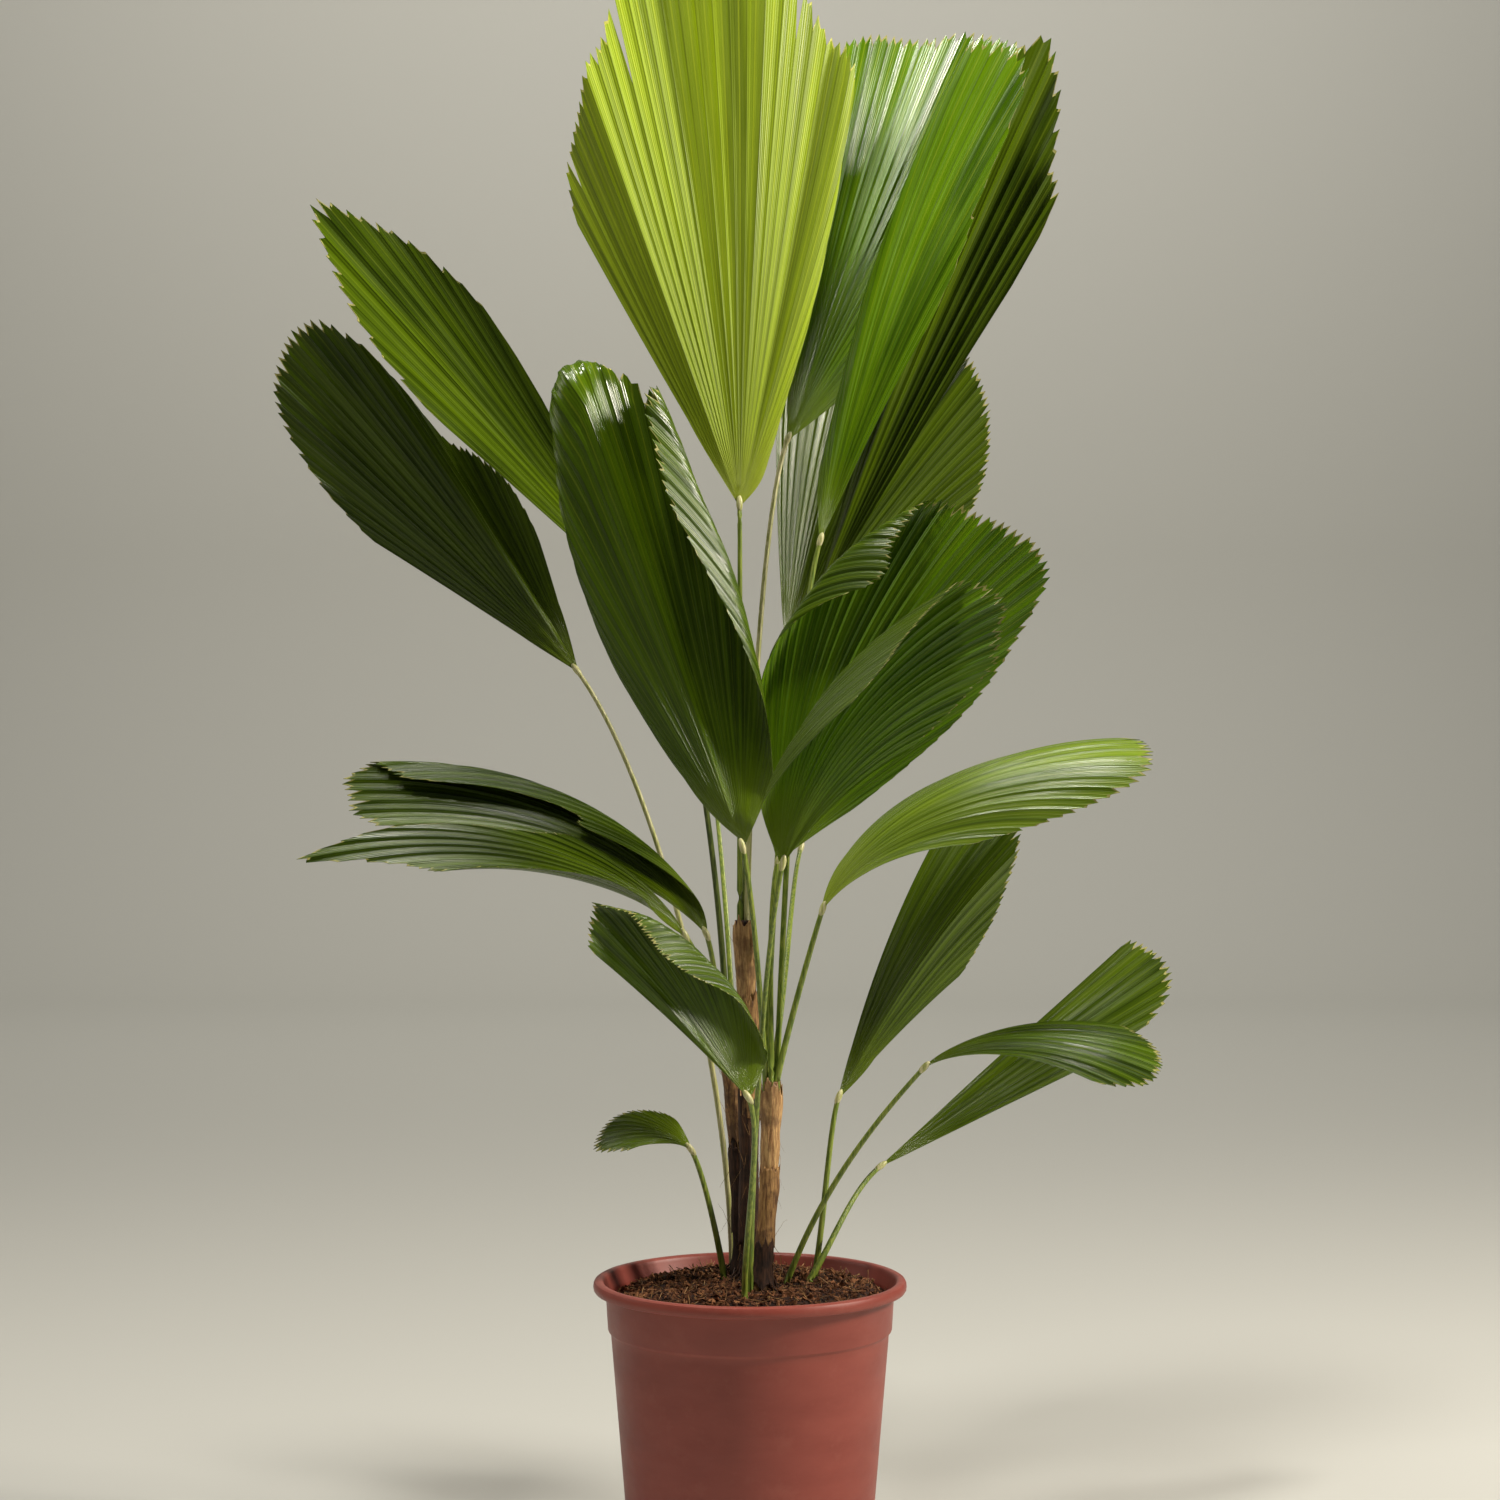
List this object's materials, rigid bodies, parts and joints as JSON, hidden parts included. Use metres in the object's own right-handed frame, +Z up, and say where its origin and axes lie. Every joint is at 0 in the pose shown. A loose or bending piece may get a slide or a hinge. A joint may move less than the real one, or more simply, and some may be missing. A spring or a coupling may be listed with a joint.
{
  "type": "potted ruffled fan palm",
  "caption": "Clumping fan palm with undivided pleated fans toothed along their far edge, on slender petioles and short fibrous stems, in a tapered round nursery pot filled with soil.",
  "frame": {"origin": "middle of the pot's flat underside, on the floor", "axes": "+Z up along the pot's axis, +X to the right of the viewer and +Y away from the viewer, as in the picture"},
  "size_m": [0.7175, 0.5701, 1.2698],
  "materials": {
    "pot_shell": "satin terracotta-coloured moulded plastic",
    "potting_mix": "rough dark crumbs of coir and bark",
    "stem_fibre": "matt brown leaf-base fibre over smooth cane",
    "petiole_skin": "smooth waxy green skin",
    "leaf_fresh": "waxy yellow-green pleated leaf",
    "leaf_mature": "glossy dark green pleated leaf",
    "leaf_glossy": "glossy mid green pleated leaf"
  },
  "bodies": {
    "root": {"pot": "pot_shell", "soil": "potting_mix", "stem_left": "stem_fibre", "stem_centre": "stem_fibre", "stem_right": "stem_fibre", "petiole_01": "petiole_skin", "petiole_02": "petiole_skin", "petiole_03": "petiole_skin", "petiole_04": "petiole_skin", "petiole_05": "petiole_skin", "petiole_06": "petiole_skin", "petiole_07": "petiole_skin", "petiole_08": "petiole_skin", "petiole_09": "petiole_skin", "petiole_10": "petiole_skin", "petiole_11": "petiole_skin", "petiole_12": "petiole_skin", "petiole_13": "petiole_skin", "petiole_14": "petiole_skin", "petiole_15": "petiole_skin", "petiole_16": "petiole_skin", "petiole_17": "petiole_skin", "petiole_18": "petiole_skin", "petiole_19": "petiole_skin", "petiole_20": "petiole_skin", "blade_01": "leaf_fresh", "blade_02": "leaf_mature", "blade_03": "leaf_glossy", "blade_04": "leaf_mature", "blade_05": "leaf_mature", "blade_06": "leaf_mature", "blade_07": "leaf_mature", "blade_08": "leaf_glossy", "blade_09": "leaf_glossy", "blade_10": "leaf_glossy", "blade_11": "leaf_mature", "blade_12": "leaf_mature", "blade_13": "leaf_mature", "blade_14": "leaf_mature", "blade_15": "leaf_glossy", "blade_16": "leaf_mature", "blade_17": "leaf_mature", "blade_18": "leaf_glossy", "blade_19": "leaf_mature", "blade_20": "leaf_mature"}
  },
  "joints": []
}
